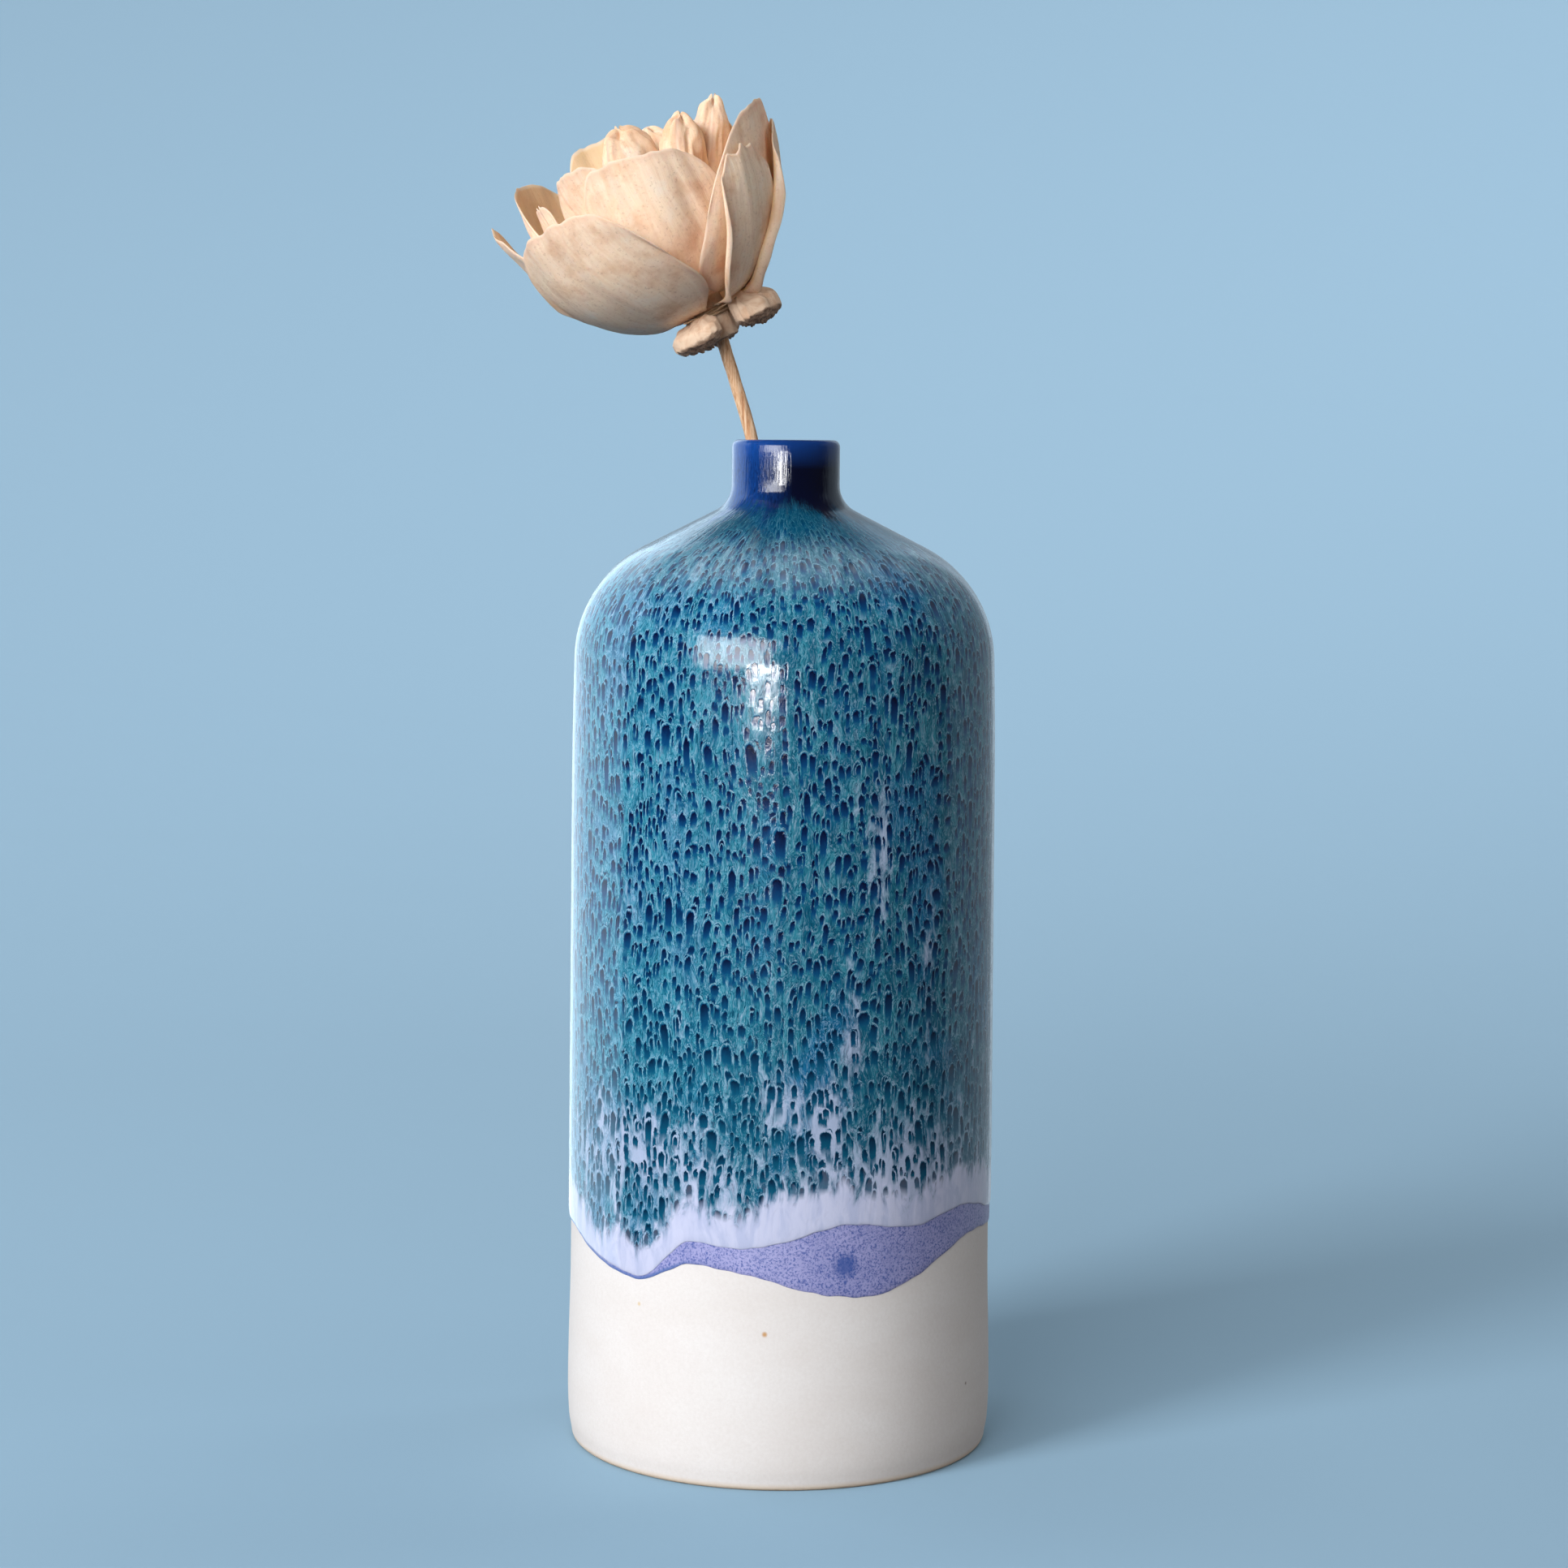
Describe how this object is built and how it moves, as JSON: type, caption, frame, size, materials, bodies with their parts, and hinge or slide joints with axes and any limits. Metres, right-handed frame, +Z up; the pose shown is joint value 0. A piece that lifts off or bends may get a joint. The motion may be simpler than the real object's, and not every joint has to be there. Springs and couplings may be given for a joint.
{
  "type": "bud vase with a dried flower",
  "caption": "Tall narrow-necked ceramic bud vase with a running glaze over a bare clay foot, holding a dried flower on a stick.",
  "frame": {"origin": "centre of the flat base that the vase stands on", "axes": "+Z up along the vase's axis, -Y to the front, -X the side that the flower leans to"},
  "size_m": [0.095, 0.0804, 0.2542],
  "materials": {
    "bare_clay": "matt warm-white bare clay with a fine grain",
    "violet_glaze": "satin lavender glaze with fine blue speckle",
    "teal_glaze": "gloss running glaze, cobalt at the neck, teal on the body, lilac white at the hem",
    "stick_wood": "dry fibrous stick",
    "petal_shaving": "dry thin shaving, cream with pink-brown edges",
    "heart_shaving": "dry crumpled shaving, darker cream",
    "pith": "cut pith with a rough brown underside",
    "cotton": "fine twisted thread"
  },
  "bodies": {
    "vase": {"vase_body": "bare_clay", "base_glaze": "violet_glaze", "running_glaze": "teal_glaze"},
    "stem": {"stick": "stick_wood"},
    "flower": {"flower_core": "pith", "petal_front_left": "petal_shaving", "petal_left": "petal_shaving", "petal_back_left": "petal_shaving", "petal_back_right": "petal_shaving", "petal_far_right": "petal_shaving", "petal_front_right": "petal_shaving", "petal_front": "petal_shaving", "petal_right": "petal_shaving", "petal_back": "petal_shaving", "petal_rear_fold": "petal_shaving", "petal_left_cup": "petal_shaving", "petal_mid_left": "petal_shaving", "petal_inner_left": "petal_shaving", "heart_petal_left": "heart_shaving", "heart_petal_middle": "heart_shaving", "heart_petal_right": "heart_shaving", "heart_petal_back": "heart_shaving", "collar_lobe_right": "pith", "collar_lobe_left": "pith", "collar_lobe_back": "pith", "binding_thread": "cotton", "thread_end_left": "cotton", "thread_end_right": "cotton"}
  },
  "joints": [
    {"name": "stem_lift", "type": "slide", "parent": "vase", "child": "stem", "axis": [-0.1993, 0, 0.9799], "range_m": [0, 0.195]},
    {"name": "head_turn", "type": "hinge", "parent": "stem", "child": "flower", "pos_m": [-0.0122, 0, 0.2082], "axis": [-0.2588, 0, 0.9659], "continuous": true}
  ]
}
